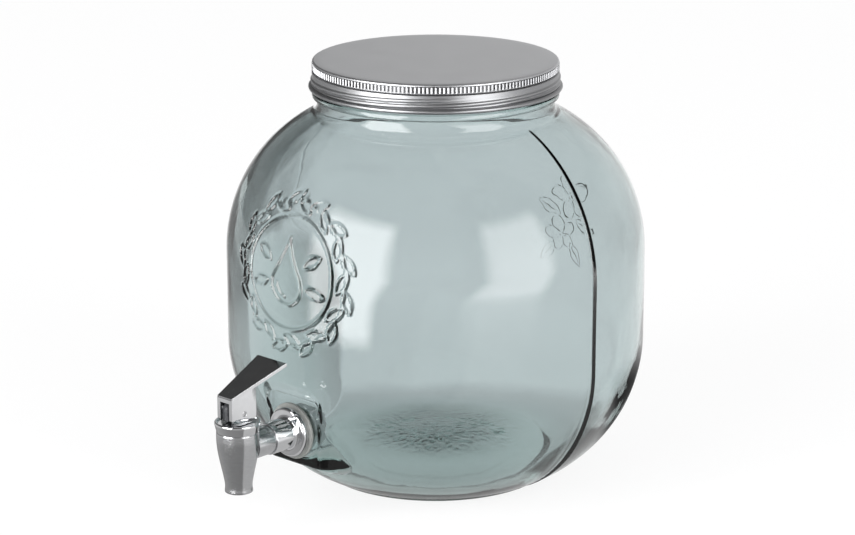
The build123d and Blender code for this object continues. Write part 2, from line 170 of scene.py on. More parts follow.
# Each lamp's pane is given from and to degrees right of the camera, with its level.
right_lamp, left_lamp, high_card = (28, 66, 4.4), (-72, -26, 8.0), (85, 150, 0.3)
pane_soft = 0.09
ceiling_levels = ((0.0, 0.95), (0.16, 1.0), (0.36, 0.65), (0.6, 0.28), (1.0, 0.3))
wall_levels = [(-180, 1), (-178, 1), (-168, 0.15), (-128, 0.3), (28, 0.24)]
wall_levels += [(40, 0.8), (130, 0.8), (158, 0.9), (180, 1)]
far_wall_levels = [(-180, 1), (-176, 1), (-167, 0.08), (-148, 0.08), (-128, 0.7)]
far_wall_levels += [(20, 0.8), (150, 0.8), (164, 0.4), (174, 1), (180, 1)]

world = bpy.data.worlds.new("studio")
scene.world = world
world.use_nodes = True
tree = world.node_tree
tree.nodes.clear()
paths = add_node(tree, "ShaderNodeLightPath").outputs
direction = add_node(tree, "ShaderNodeTexCoord").outputs["Generated"]
upward = along(tree, direction, (0, 0, 1))
ceiling = ramp(tree, upward, [(rise, grey(level)) for rise, level in ceiling_levels])
turn, walls = around(tree, direction, wall_levels)
room = scaled(tree, ceiling, walls)
for (low, high, level), foot, head in (
    (right_lamp, -0.4, 0.6),
    (left_lamp, -0.4, 0.6),
    (high_card, 0.45, 0.9),
):
    pane = band(tree, turn, radians(low), radians(high), pane_soft)
    pane = product(tree, pane, band(tree, upward, foot, head, 0.08), level)
    room = added(tree, room, pane)
beyond = scaled(tree, ceiling, around(tree, direction, far_wall_levels)[1])
through = sums(tree, "GREATER_THAN", paths["Transmission Depth"], 0.5)
mirrored = mix(tree, through, room, beyond)
soft = sums(tree, "GREATER_THAN", paths["Diffuse Depth"], 0.5)
lit = mix(tree, soft, mirrored, mix(tree, through, (0.62, 0.62, 0.63, 1), grey(1.1)))
shown = mix(tree, paths["Is Camera Ray"], lit, grey(1))
background = add_node(tree, "ShaderNodeBackground", {"Color": shown, "Strength": 1.0})
add_node(tree, "ShaderNodeOutputWorld", {"Surface": background.outputs[0]})

floor_half, floor_height = 4, -0.0004
floor_corners = ((-1, -1), (1, -1), (1, 1), (-1, 1))
floor_points = [(x * floor_half, y * floor_half, floor_height) for x, y in floor_corners]
floor_mesh = bpy.data.meshes.new("floor")
floor_mesh.from_pydata(floor_points, [], [(0, 1, 2, 3)])
floor = bpy.data.objects.new("floor", floor_mesh)
scene.collection.objects.link(floor)

# What the chrome mirrors of the floor: painted levels of light and shade by the way round the tap, painted
# shade near the tap and by the jar's heel, and the painted light of the lamps' panes.
tap_away = 0.163
table_levels = [(-180, 0.9), (-174, 0.9), (-160, 0.24), (-128, 0.46), (-50, 0.32)]
table_levels += [(34, 0.28), (38, 0.62), (180, 0.6)]
sweep, tree, place = new_material("white_sweep")
paths = add_node(tree, "ShaderNodeLightPath").outputs
from_tap = added(tree, place, (0, tap_away, 0))
turn, table = around(tree, from_tap, table_levels)
table = product(tree, table, ranged(tree, length_of(tree, from_tap), 0.12, 0.28, 0.85, 1.5))
reach = length_of(tree, place)
rightward = along(tree, place, to_right)
forward = along(tree, place, to_camera)
# Painted shade on the floor right of the jar and behind it, which the heel and the chrome mirror.
painted_heel_shade = product(
    tree,
    ranged(tree, rightward, 0.08, 0.13, 0.0, 0.9),
    ranged(tree, reach, 0.2, 0.34, 1.0, 0.0),
    ranged(tree, forward, -0.03, 0.02, 1.0, 0.0),
)
table = product(tree, table, rest_of(tree, painted_heel_shade))
# Painted light of the lamps' panes on the floor, further out from the jar.
for (low, high, level), foot, head in ((right_lamp, 0.36, 1.0), (left_lamp, 0.44, 0.5)):
    pane = band(tree, turn, radians(low), radians(high), pane_soft)
    pane = product(tree, pane, ranged(tree, reach, foot, head, 0, 1), level)
    table = sums(tree, "ADD", table, pane)

# What shows of the floor through the glass: a painted shadow of the jar round its foot, and painted shade to
# the left, far to the right, under the middle, in front and in a wedge on the right.
shade_reach = 0.25
shade_stops = [(0.0, (0.7, 0.74, 0.73, 1)), (0.28, (0.72, 0.76, 0.75, 1)), (0.38, (0.68, 0.7, 0.7, 1))]
shade_stops += [(0.48, grey(0.74)), (0.62, grey(1.0))]
aside = sums(tree, "DIVIDE", rightward, sums(tree, "SUBTRACT", camera_away, forward))
# Painted shade on the floor to the left of the jar.
painted_left_shade = product(
    tree,
    ranged(tree, aside, -0.1, -0.045, 0.94, 0.0),
    ranged(tree, reach, 0.28, 0.45, 0.5, 1.0),
    ranged(tree, aside, -0.31, -0.25, 0.2, 1.0),
)
middle = length_of(tree, added(tree, place, (0.023, -0.024, 0)))
# Painted shade on the floor: to the left, far to the right, under the middle and in front.
painted_floor_shade = product(
    tree,
    rest_of(tree, painted_left_shade),
    ranged(tree, aside, 0.19, 0.25, 1.0, 0.6),
    ranged(tree, middle, 0.012, 0.065, 0.34, 1.0),
    ranged(tree, forward, 0.02, 0.08, 1.0, 0.7),
)
# A painted shadow of the jar on the floor, darkest under and round its foot.
shade = ramp(tree, sums(tree, "DIVIDE", reach, shade_reach), shade_stops)
# Painted shade in a small wedge on the floor right of the jar's foot.
slant = sums(tree, "ADD", rightward, product(tree, forward, 0.5))
corner = product(
    tree,
    ranged(tree, slant, 0.087, 0.095, 0.0, 0.93),
    ranged(tree, rightward, 0.117, 0.126, 1.0, 0.0),
    ranged(tree, forward, 0.05, 0.075, 1.0, 0.0),
)
beneath = scaled(tree, shade, product(tree, painted_floor_shade, rest_of(tree, corner)))
through = sums(tree, "GREATER_THAN", paths["Transmission Depth"], 0.5)
seen = mix(tree, paths["Is Camera Ray"], mix(tree, through, table, beneath), grey(1))
direct = sums(tree, "LESS_THAN", paths["Diffuse Depth"], 0.5)
matt = add_node(tree, "ShaderNodeBsdfDiffuse", {"Color": grey(0.9)})
glow = add_node(tree, "ShaderNodeEmission", {"Color": seen, "Strength": 1.0})
share = product(tree, direct, mix(tree, paths["Is Camera Ray"], grey(1.0), grey(0.86)))
both = add_node(tree, "ShaderNodeMixShader", {0: share, 1: matt.outputs[0], 2: glow.outputs[0]})
add_node(tree, "ShaderNodeOutputMaterial", {"Surface": both.outputs[0]})
floor_mesh.materials.append(sweep)

lamp_away, lamp_height, aim_height = 1.3, 0.72, 0.13
for side, angle, power in (("left", -54, 9), ("right", 50, 11)):
    lamp_data = bpy.data.lights.new(side + "_softbox", "AREA")
    lamp_data.shape = "RECTANGLE"
    lamp_data.size = 0.42
    lamp_data.size_y = 0.95
    lamp_data.energy = power
    lamp = bpy.data.objects.new(side + "_softbox", lamp_data)
    lamp_turn = view_turn + radians(angle)
    lamp.location = (lamp_away * sin(lamp_turn), -lamp_away * cos(lamp_turn), lamp_height)
    lamp.rotation_euler = (Vector((0, 0, aim_height)) - lamp.location).to_track_quat("-Z", "Y").to_euler()
    lamp.visible_glossy = False
    lamp.visible_transmission = False
    scene.collection.objects.link(lamp)

# Glass jar: a heavy vessel pressed in a two-part mould from pale aqua glass, with a square pad for
# the tap, a raised wreath over it, two blossoms on the back and a mould seam on each side. The tap's
# hole is drilled through the pad. Sizes are in millimetres.
mm = 0.001
heel_centre, heel_height, heel_radius = 34.0, 84.41, 91.0
shoulder_centre, shoulder_height, shoulder_radius = 32.0, 136.42, 93.0
belly, wall, heel_growth, skin = 125.0, 4.5, 2.0, 0.6
neck, neck_round, throat, throat_round = 70, 6, 65, 14
hollow, hollow_radius, floor_top, floor_curve = 3, 385.5, 9, 14
pad_reach, pad_back, pad_turn = 119.5, 113.5, 0.6
pad_middle, pad_width, pad_tall, pad_corner = 51.5, 39, 40, 3
tap_height, tap_bore = 51.0, 8.5
shank_axis = (0, 0, tap_height)
wreath_height, blossom_height = 146, 132
seam_rise, seam_slope = 0.52, 0.8
thread_foot, thread_lead, bead_radius = 233, 9, 1.2


def eased(low, high, value):
    """A smooth step from 0 to 1 between two values."""
    share = np.clip((value - low) / (high - low), 0, 1)
    return share * share * (3 - 2 * share)


def jar_radius(height, inset):
    """Radius of the jar's heel, wall and shoulder at a height, inset from the outside."""
    below, above = heel_height - height, height - shoulder_height
    heel = heel_centre + np.sqrt(np.maximum((heel_radius - inset) ** 2 - below**2, 0))
    shoulder = shoulder_centre + np.sqrt(np.maximum((shoulder_radius - inset) ** 2 - above**2, 0))
    return np.where(height < heel_height, heel, np.where(height > shoulder_height, shoulder, belly - inset))


def inner_radius(height):
    """Radius of the plain inside, where the glass grows thicker towards the heel."""
    return jar_radius(height, wall + heel_growth * (1 - eased(18, 95, height)))


def panel_edge(across, height, middle, width, tall, corner):
    """Signed distance to the edge of an upright rounded panel, negative inside it."""
    x = np.abs(across) - width / 2 + corner
    z = np.abs(height - middle) - tall / 2 + corner
    return np.hypot(np.maximum(x, 0), np.maximum(z, 0)) + np.minimum(np.maximum(x, z), 0) - corner


def leaf_edge(u, v, place, turn, length, width):
    """Signed distance to a pointed leaf of half length and half width about its middle."""
    du, dv = u - place[0], v - place[1]
    lengthwise = du * cos(turn) + dv * sin(turn)
    crosswise = np.abs(dv * cos(turn) - du * sin(turn))
    return np.maximum(crosswise - width * (1 - (lengthwise / length) ** 2), np.abs(lengthwise) - length)


def wreath_edge(u, v):
    """Distance from the lines of the front ornament: a leaf wreath, a ring, and a drop in its middle."""
    reach = np.hypot(u, v)
    lines = [np.abs(reach - 33.0) - 0.8, np.abs(reach - 42.0) - 0.4]
    leaves, leaf_length, leaf_width, leaf_line = 26, 7.0, 2.8, 0.55
    for k in range(leaves):
        bearing = 2 * pi * k / leaves
        lean, out = (0.5, 44.2) if k % 2 else (-0.5, 39.8)
        place = (out * cos(bearing), out * sin(bearing))
        leaf = leaf_edge(u, v, place, bearing + pi / 2 + lean, leaf_length, leaf_width)
        lines.append(np.abs(leaf) - leaf_line)
    drop = np.full_like(u, 99.0)
    for share in np.linspace(0, 1, 14):
        drop = np.minimum(drop, np.hypot(u, v + 7 - 27 * share) - 11.5 * (1 - share) ** 1.15)
    lines.append(np.abs(drop) - 0.75)
    shine = np.abs(np.hypot(u, v + 7) - 7.0) - 0.6
    lines.append(np.where((v < -7) & (u < 0), shine, 99.0))
    for bearing in (0.55, pi - 0.55, -0.25, pi + 0.25):
        place = (22.5 * cos(bearing), 22.5 * sin(bearing) - 3)
        leaf = leaf_edge(u, v, place, bearing, leaf_length, leaf_width)
        lines.append(np.abs(leaf) - leaf_line)
    return np.min(lines, axis=0)


def blossom_edge(u, v):
    """Distance from the lines of the back ornament: two five-petalled blossoms with leaves."""
    lines = []
    line, petals, petal_out, petal_length, petal_width = 0.4, 5, 8.8, 7.4, 5.2
    for place, size in (((-4.0, 13.0), 1.0), ((6.0, -13.0), 0.75)):
        for k in range(petals):
            bearing = pi / 2 + 2 * pi * k / petals + place[0]
            du = u - place[0] - petal_out * size * cos(bearing)
            dv = v - place[1] - petal_out * size * sin(bearing)
            lengthwise = (du * cos(bearing) + dv * sin(bearing)) / (petal_length * size)
            crosswise = (dv * cos(bearing) - du * sin(bearing)) / (petal_width * size)
            petal = (np.hypot(lengthwise, crosswise) - 1) * petal_width * size
            lines.append(np.abs(petal) - line)
        lines.append(np.abs(np.hypot(u - place[0], v - place[1]) - 2.3 * size) - line)
    for place, turn in (((-16.0, -5.0), 3.5), ((14.5, 4.0), 0.4), ((-7.0, -26.0), 4.1), ((17.0, -27.0), 5.4)):
        lines.append(np.abs(leaf_edge(u, v, place, turn, 9.0, 4.0)) - line)
        lines.append(leaf_edge(u, v, place, turn, 7.5, 0.5))
    return np.min(lines, axis=0)


def spread(start, stop, step):
    """Evenly spaced places from start up to stop, both included."""
    return list(np.linspace(start, stop, max(2, int(round(abs(stop - start) / step)) + 1)))


def arc_length(height):
    """Length along the jar's upright profile, counted like the height below the shoulder."""
    rise = np.clip((height - shoulder_height) / shoulder_radius, 0, 1)
    return np.minimum(height, shoulder_height) + shoulder_radius * np.arcsin(rise)


def wobble(turn, height, size, seed):
    """Slow waviness of the pressed glass."""
    places = [(sin(t) * size, cos(t) * size, h * size / belly + seed) for t, h in zip(turn, height)]
    return np.array([noise.noise(Vector(place)) for place in places])


def row_faces(rows, count):
    """Faces that join a first pole, rows of that many points each, and a last pole."""
    faces = [(0, 1 + (j + 1) % count, 1 + j) for j in range(count)]
    for i in range(rows - 1):
        low, high = 1 + i * count, 1 + (i + 1) * count
        faces += [(low + j, low + (j + 1) % count, high + (j + 1) % count, high + j) for j in range(count)]
    top = 1 + (rows - 1) * count
    return faces + [(top + count, top + j, top + (j + 1) % count) for j in range(count)]


bearings = set(spread(-27.5, 27.5, 1.25) + spread(166.25, 193.75, 1.25))
seam_steps = (-2.8, -2.2, -1.7, -1.4, -1.15, -0.95, -0.75, -0.55, -0.36, -0.18)
seam_steps += (0, 0.18, 0.36, 0.6, 0.9, 1.5)
for seam_bearing in (-90, 90):
    bearings |= {seam_bearing + step for step in seam_steps}
for start, stop in ((27.5, 88.5), (91.5, 166.25), (193.75, 268.5), (271.5, 332.5)):
    bearings |= set(spread(start, stop, 2.5))
bearings = np.array(sorted({round(float(b) % 360, 3) for b in bearings}))
turns = np.radians((bearings + 180) % 360 - 180)

hollow_reaches = (5, 13, 21, 29, 37, 44, 48)
rows = [(r, hollow - hollow_radius + sqrt(hollow_radius**2 - r * r)) for r in hollow_reaches]
rows += [(50, 0), (58, 0), (65.5, 0), (68.0, 0.3), (70.0, 0.9)]
rows += [(float(jar_radius(h, skin)), h) for h in spread(1.7, 218.5, 3.1)]
for t in np.radians(np.linspace(243.4, 180, 9)):
    rows.append((neck + neck_round + neck_round * cos(t), 224.43 + neck_round * sin(t)))
rows += [(neck, 227.9), (70.3, 228.5), (71.9, 228.6), (72.5, 228.9), (72.7, 229.4), (72.7, 231.2)]
rows += [(72.5, 231.7), (71.9, 232), (70.4, 232.1), (neck, 232.7)]
rows += [(neck, h) for h in spread(233.2, 244.6, 0.52)]
rows += [(neck, 246.4), (69.8, 247.1), (69.3, 247.6), (68.5, 247.9), (66.5, 247.9), (65.7, 247.6)]
rows += [(65.2, 247.1), (throat, 246.4), (throat, 240), (throat, 233), (throat, 229.5)]
for t in np.radians(np.linspace(180, 242, 10)):
    rows.append((throat + throat_round + throat_round * cos(t), 227.51 + throat_round * sin(t)))
inner_arc = np.radians(np.linspace(61.5, 3, 22))
inner_heights = [shoulder_height + (shoulder_radius - wall) * sin(t) for t in inner_arc]
inner_heights += spread(shoulder_height, 84, 4) + spread(82, floor_curve, 2.4)
rows += [(float(inner_radius(h)), h) for h in inner_heights]
foot = float(inner_radius(float(floor_curve)))
steep = (foot - heel_centre) / (heel_height - floor_curve)
curve_rise = floor_curve - floor_top
flat_edge = foot - 2 * curve_rise / steep
for r in spread(foot - 1.2, flat_edge, 1.2):
    rows.append((r, floor_top + steep**2 / (4 * curve_rise) * (r - flat_edge) ** 2))
rows += [(r, floor_top) for r in spread(flat_edge - 2.4, 40, 2.4) + spread(38.8, 4, 1.2)]
points = [(0, 0, hollow)]
for radius, height in rows:
    points += [(radius * sin(t), -radius * cos(t), height) for t in turns]
points.append((0, 0, floor_top))


def jar_zones(spots):
    """Radius, turn and height of points of the plain jar, and which are outside, inside and on the floor."""
    radius = np.hypot(spots[:, 0], spots[:, 1])
    turn = np.arctan2(spots[:, 0], -spots[:, 1])
    height = spots[:, 2]
    outer = (height > 1.6) & (height < 219) & (radius > jar_radius(height, 2.5))
    inner = (height > 13.9) & (height < 216.5) & (np.abs(radius - inner_radius(height)) < 1)
    return radius, turn, height, outer, inner, (np.abs(height - floor_top) < 0.02) & (radius < 72)


blank = bpy.data.meshes.new("glass_jar_blank")
blank.from_pydata(points, [], row_faces(len(rows), len(turns)))
build = bmesh.new()
build.from_mesh(blank)
for zone, cuts in (("wreath", 3), ("pad", 3), ("blossom", 5), ("pocket", 2), ("floor", 1)):
    middles = np.array([face.calc_center_median() for face in build.faces])
    radius, turn, height, outer, inner, bottom = jar_zones(middles)
    back = (turn + 2 * pi) % (2 * pi) - pi
    wreath = wreath_edge(turn * belly, arc_length(height) - wreath_height)
    blossom = blossom_edge(back * belly, arc_length(height) - blossom_height)
    picked = {
        "wreath": outer & (np.abs(turn) < 0.48) & (np.abs(wreath) < 3.0),
        "pad": outer & (np.abs(turn) < 0.33) & (height > 14) & (height < 86),
        "blossom": outer & (np.abs(back) < 0.24) & (blossom < 2.6),
        "pocket": inner & (np.abs(turn) < 0.33) & (height > 24) & (height < 88),
        "floor": bottom & (radius > 40) & (radius < 68),
    }[zone]
    chosen = [face for face, taken in zip(build.faces, picked) if taken]
    edges = dict.fromkeys(edge for face in chosen for edge in face.edges)
    bmesh.ops.subdivide_edges(build, edges=list(edges), cuts=cuts, use_grid_fill=True)
spots = np.array([vert.co for vert in build.verts])
radius, turn, height, outer, inner, bottom = jar_zones(spots)
back = (turn + 2 * pi) % (2 * pi) - pi
near = np.abs(turn) < pad_turn
tight = np.clip(turn, -pad_turn, pad_turn)

wreath = wreath_edge(turn * belly, arc_length(height) - wreath_height)
blossom = blossom_edge(back * belly, arc_length(height) - blossom_height)
relief = 0.95 * (1 - eased(-0.55, 0.55, wreath)) * (np.abs(turn) < 0.5)
relief += 0.55 * (1 - eased(-0.4, 0.4, blossom)) * (np.abs(back) < 0.26)
from_seam = (turn - pi / 2) * belly
dip = 1.0 + 0.9 * (1 - eased(12, 75, height))
past_ridge = np.maximum(seam_rise - seam_slope * from_seam, 0)
ridge = np.where(from_seam > 0, past_ridge, seam_rise + seam_slope * from_seam)
past_dip = np.maximum(-from_seam - (seam_rise + dip) / seam_slope, 0)
relief += np.maximum(ridge, np.minimum(0.65 * past_dip - dip, 0))
relief += 0.06 * np.maximum(1 - np.abs(turn + pi / 2) * belly / 1.6, 0)
form = jar_radius(height, skin) + relief + 0.12 * wobble(turn, height, 2.5, 0)
pad = pad_reach / np.cos(tight)
across = pad_reach * np.tan(tight)
pad_edge = panel_edge(across, height, pad_middle, pad_width, pad_tall, pad_corner)
off = np.maximum(pad_edge, 0)
beside = np.maximum(np.abs(across) - pad_width / 2, 0)
above = np.maximum(np.abs(height - pad_middle) - pad_tall / 2, 0)
rim = 0.7 * eased(0, 1.6, pad_edge)
least = pad - rim - 0.45 * beside - 0.04 * beside**2 - 1.3 * above - 0.1 * above**2
most = pad + rim + 0.22 * off + 0.03 * off**2
radius = np.where(outer, np.where(near, np.clip(form, least, most), form), radius)

form = inner_radius(height) + 0.5 * wobble(turn, height, 2.2, 7) + 0.2 * wobble(turn, height, 6, 3)
plane = pad_back / np.cos(tight)
pocket = 1 - eased(14.5, 25, np.hypot(pad_back * np.tan(tight), height - tap_height))
form = np.where(near, np.minimum(form, plane + 1.3 * eased(0, 1.2, pad_edge)), form)
form = np.where(near, form + (plane - form) * pocket, form)
radius = np.where(inner, form, radius)

for thread_start in range(3):
    climb = ((np.degrees(turn) - 90 - 120 * thread_start) / 40) % thread_lead
    for lap in (-thread_lead, 0, thread_lead):
        off = height - thread_foot - climb - lap
        ends = eased(3.3, 4.0, climb + lap) * (1 - eased(7.3, 8.0, climb + lap))
        bead = neck + (0.6 + np.sqrt(np.maximum(bead_radius**2 - off * off, 0))) * ends
        on_thread = (np.abs(off) < bead_radius) & (height > 233.1) & (radius > 69.9)
        radius = np.where(on_thread, np.maximum(radius, bead), radius)

patch_x, patch_y = -14, 15
fine = [noise.noise(Vector((x / 2.4, y / 2.4, 1.5))) for x, y, z in spots]
broad = [noise.noise(Vector((x / 8, y / 8, 4.5))) for x, y, z in spots]
rough = np.array(fine) + 0.5 * np.array(broad)
patch = 1 - eased(30, 62, np.hypot(spots[:, 0] - patch_x, spots[:, 1] - patch_y))
dome = 5.0 * (1 - eased(0, 62, radius))
height = np.where(bottom, height + dome + 0.45 * rough * patch, height)
for vert, r, t, h in zip(build.verts, radius, turn, height):
    vert.co = (r * sin(t) * mm, -r * cos(t) * mm, h * mm)
bmesh.ops.recalc_face_normals(build, faces=build.faces)
build.to_mesh(blank)
build.free()


def shell(name, points, faces, sharp=None):
    """A smooth mesh of merged points with its faces turned outwards, creased past an angle."""
    made = bpy.data.meshes.new(name)
    made.from_pydata([tuple(p) for p in points], [], faces)
    build = bmesh.new()
    build.from_mesh(made)
    bmesh.ops.remove_doubles(build, verts=build.verts, dist=2e-7)
    bmesh.ops.recalc_face_normals(build, faces=build.faces)
    build.to_mesh(made)
    build.free()
    made.shade_smooth()
    if sharp:
        made.set_sharp_from_angle(angle=radians(sharp))
    return made


def worked(name, mesh, modifiers, sharp=None):
    """A plain mesh from a mesh and the modifiers worked on it, as (kind, settings) pairs."""
    tool = bpy.data.objects.new(name + "_blank", mesh)
    scene.collection.objects.link(tool)
    for kind, settings in modifiers:
        step = tool.modifiers.new(kind, kind)
        for key, value in settings.items():
            setattr(step, key, value)
    bpy.context.view_layer.update()
    made = bpy.data.meshes.new_from_object(tool.evaluated_get(bpy.context.evaluated_depsgraph_get()))
    made.name = name
    bpy.data.objects.remove(tool)
    made.shade_smooth()
    if sharp:
        made.set_sharp_from_angle(angle=radians(sharp))
    return made


def turned(name, profile, place, lengthwise, steps, sharp=32):
    """A body turned from a closed profile of (radius, distance), upright or out along the shank's axis."""
    points, faces = [], []
    for i in range(steps):
        t = 2 * pi * i / steps
        for radius, distance in profile:
            if lengthwise == "up":
                spot = (place[0] + radius * cos(t), place[1] + radius * sin(t), place[2] + distance)
            else:
                spot = (place[0] + radius * cos(t), place[1] - distance, place[2] + radius * sin(t))
            points.append([part * mm for part in spot])
    n = len(profile)
    for i in range(steps):
        after = (i + 1) % steps
        for j in range(n):
            k = (j + 1) % n
            faces.append((i * n + j, i * n + k, after * n + k, after * n + j))
    made = shell(name, points, faces, sharp)
    build = bmesh.new()
    build.from_mesh(made)
    bmesh.ops.dissolve_degenerate(build, edges=build.edges, dist=1e-8)
    build.to_mesh(made)
    build.free()
    return made


def shank_tool(name, profile, steps, sharp=None):
    """A turned tool on the shank's axis, to cut a piece or to join to it."""
    tool = bpy.data.objects.new(name, turned(name, profile, shank_axis, "out", steps, sharp))
    scene.collection.objects.link(tool)
    return tool


def settle(name, mesh, material, body, node):
    """Puts a finished piece in the place of a node, riding on its body."""
    piece = bpy.data.objects.new(name, mesh)
    scene.collection.objects.link(piece)
    mesh.materials.clear()
    mesh.materials.append(material)
    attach(piece, body)
    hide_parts(node)
    return piece


drill = shank_tool("bore_tool", [(0, 100), (tap_bore, 100), (tap_bore, 130), (0, 130)], 72, 32)
drilled = ("BOOLEAN", {"operation": "DIFFERENCE", "solver": "EXACT", "object": drill})
jar_mesh = worked("glass_jar_form", blank, [drilled], 60)
bpy.data.objects.remove(drill)


def speckle(tree, vector, scale, detail, roughness=0.5):
    """Soft random specks from 0 to 1."""
    inputs = {"Vector": vector, "Scale": scale, "Detail": detail, "Roughness": roughness}
    return add_node(tree, "ShaderNodeTexNoise", inputs).outputs[0]


def bumped(tree, height, strength, depth):
    """The slope that a height gives the surface."""
    inputs = {"Height": height, "Strength": strength, "Distance": depth}
    return add_node(tree, "ShaderNodeBump", inputs).outputs[0]


def surfaced(tree, sockets):
    """The material's surface shader with its sockets, and the output node that it feeds."""
    shader = add_node(tree, "ShaderNodeBsdfPrincipled", sockets)
    return add_node(tree, "ShaderNodeOutputMaterial", {"Surface": shader.outputs[0]})


aqua_glass, tree, place = new_material("aqua_glass")
ripple = speckle(tree, place, scale=28.0, detail=2.0, roughness=0.4)
streaks = speckle(tree, place, scale=160.0, detail=1.0)
swirl = sums(tree, "ADD", ripple, product(tree, streaks, 0.06))
output = surfaced(
    tree,
    {
        "Base Color": (0.75, 0.785, 0.80, 1),
        "Roughness": 0.0,
        "IOR": 1.5,
        "Transmission Weight": 1.0,
        "Normal": bumped(tree, swirl, strength=0.22, depth=0.0012),
    },
)
aqua = add_node(tree, "ShaderNodeVolumeAbsorption", {"Color": (0.0, 0.47, 0.34, 1), "Density": 16.0})
tree.links.new(aqua.outputs[0], output.inputs["Volume"])
settle("glass_jar_form", jar_mesh, aqua_glass, "jar", "glass_jar")

# Washers: two soft silicone rings that seal the tap's hole, one under the flange outside and one
# under the nut inside, pressed flat against the glass.
silicone, tree, place = new_material("grey_silicone")
cloud = speckle(tree, place, scale=240.0, detail=3.0)
surfaced(
    tree,
    {
        "Base Color": ramp(tree, cloud, [(0.3, (0.31, 0.32, 0.305, 1)), (0.7, (0.38, 0.39, 0.37, 1))]),
        "Roughness": ranged(tree, cloud, 0.3, 0.7, 0.38, 0.55),
        "Transmission Weight": 0.25,
        "Normal": bumped(tree, cloud, strength=0.1, depth=0.0003),
    },
)


def rounded(corners, steps=5):
    """A closed profile from corners of (radius, distance, rounding), each rounding drawn as an arc."""
    made = []
    for i, (x, y, size) in enumerate(corners):
        before, after = corners[i - 1], corners[(i + 1) % len(corners)]
        a = Vector((before[0] - x, before[1] - y)).normalized()
        b = Vector((after[0] - x, after[1] - y)).normalized()
        half = a.angle(b) / 2 if size else 0
        if not size or half > 1.55:
            made.append((x, y))
            continue
        centre = Vector((x, y)) + (a + b).normalized() * (size / sin(half))
        first = Vector((x, y)) + a * (size * cos(half) / sin(half)) - centre
        last = Vector((x, y)) + b * (size * cos(half) / sin(half)) - centre
        begin, sweep_by = atan2(first.y, first.x), first.angle_signed(last)
        for k in range(steps + 1):
            t = begin - sweep_by * k / steps
            made.append((centre.x + size * cos(t), centre.y + size * sin(t)))
    return made


hole = 8.2
for name, node, seat, face, edge in (
    ("outer_washer_ring", "outer_washer", 119.5, 121.5, 16.5),
    ("inner_washer_ring", "inner_washer", 111.5, 113.5, 13.0),
):
    washer_profile = rounded([(hole, seat, 0.3), (edge, seat, 0.5), (edge, face, 0.5), (hole, face, 0.3)])
    washer_mesh = turned(name, washer_profile, shank_axis, "out", 96)
    settle(name, washer_mesh, silicone, "jar", node)

# Shank nut: the hexagon nut that draws the tap tight from inside the jar. It is moulded in pale
# plastic and runs on the shank's thread against the inner washer.
nut_plastic, tree, place = new_material("moulded_nut_plastic")
grain = speckle(tree, place, scale=900.0, detail=2.0)
surfaced(
    tree,
    {
        "Base Color": ramp(tree, grain, [(0.3, (0.7, 0.71, 0.71, 1)), (0.7, (0.77, 0.78, 0.78, 1))]),
        "Roughness": 0.42,
        "Normal": bumped(tree, grain, strength=0.15, depth=0.0002),
    },
)


def node_copy(name, node, bevel, segments):
    """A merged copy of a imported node's mesh with its hard edges eased by a bevel."""
    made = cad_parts[node].data.copy()
    build = bmesh.new()
    build.from_mesh(made)
    bmesh.ops.remove_doubles(build, verts=build.verts, dist=1e-6)
    bmesh.ops.dissolve_limit(build, angle_limit=radians(0.5), verts=build.verts, edges=build.edges)
    build.to_mesh(made)
    build.free()
    made.shade_smooth()
    steps = {"width": bevel * mm, "segments": segments, "limit_method": "ANGLE", "angle_limit": radians(30)}
    return worked(name, made, [("BEVEL", steps), ("WEIGHTED_NORMAL", {"weight": 100})])


nut_mesh = node_copy("shank_nut_hex", "shank_nut", 0.35, 2)
settle("shank_nut_hex", nut_mesh, nut_plastic, "jar", "shank_nut")

# Shank: one turned metal piece, chromed, with the threaded tail through the glass, the round
# flange, the sleeve and the spigot that pushes into the barrel's arm.
chrome, tree, place = new_material("polished_chrome")
film = speckle(tree, place, scale=130.0, detail=4.0)
orange_peel = speckle(tree, place, scale=420.0, detail=1.0)
surfaced(
    tree,
    {
        "Base Color": ramp(tree, film, [(0.3, (0.76, 0.765, 0.78, 1)), (0.7, (0.82, 0.825, 0.835, 1))]),
        "Metallic": 1.0,
        "Roughness": ranged(tree, film, 0.35, 0.7, 0.05, 0.11),
        "Normal": bumped(tree, orange_peel, strength=0.01, depth=0.0003),
    },
)
thread_pitch = 1.5
crests = []
for k in range(6):
    crests += [(7.55, 109.6 - thread_pitch * k, 0.1), (8.0, 108.85 - thread_pitch * k, 0.12)]
shank_profile = rounded(
    [
        (4.5, 99.5, 0.4),
        (7.4, 99.5, 0.4),
        *reversed(crests),
        (8.0, 110.4, 0),
        (8.0, 121.5, 0),
        (14.5, 121.5, 0.5),
        (14.5, 125.5, 1.6),
        (10.6, 125.5, 0),
        (9.25, 126.2, 0.7),
        (9.25, 140.9, 0.35),
        (6.9, 140.9, 0),
        (6.9, 143.75, 0.1),
        (5.6, 143.75, 0.2),
        (5.6, 145.15, 0.2),
        (6.9, 145.15, 0.1),
        (6.9, 148.0, 0.3),
        (4.5, 148.0, 0.3),
    ]
)
shank_mesh = turned("shank_turning", shank_profile, shank_axis, "out", 144)
settle("shank_turning", shank_mesh, chrome, "jar", "shank_tube")

# Arm ring: a small moulded ring of silicone that seals the joint in the arm. It is stretched into
# the groove of the shank's spigot.
ring_middle, ring_place, ring_radius = 6.3, 144.45, 0.65
ring_turns = np.linspace(0, 2 * pi, 19)[:-1]
ring_profile = [(ring_middle + ring_radius * cos(t), ring_place + ring_radius * sin(t)) for t in ring_turns]
ring_mesh = turned("arm_seal", ring_profile, shank_axis, "out", 72, None)
settle("arm_seal", ring_mesh, silicone, "jar", "arm_o_ring")

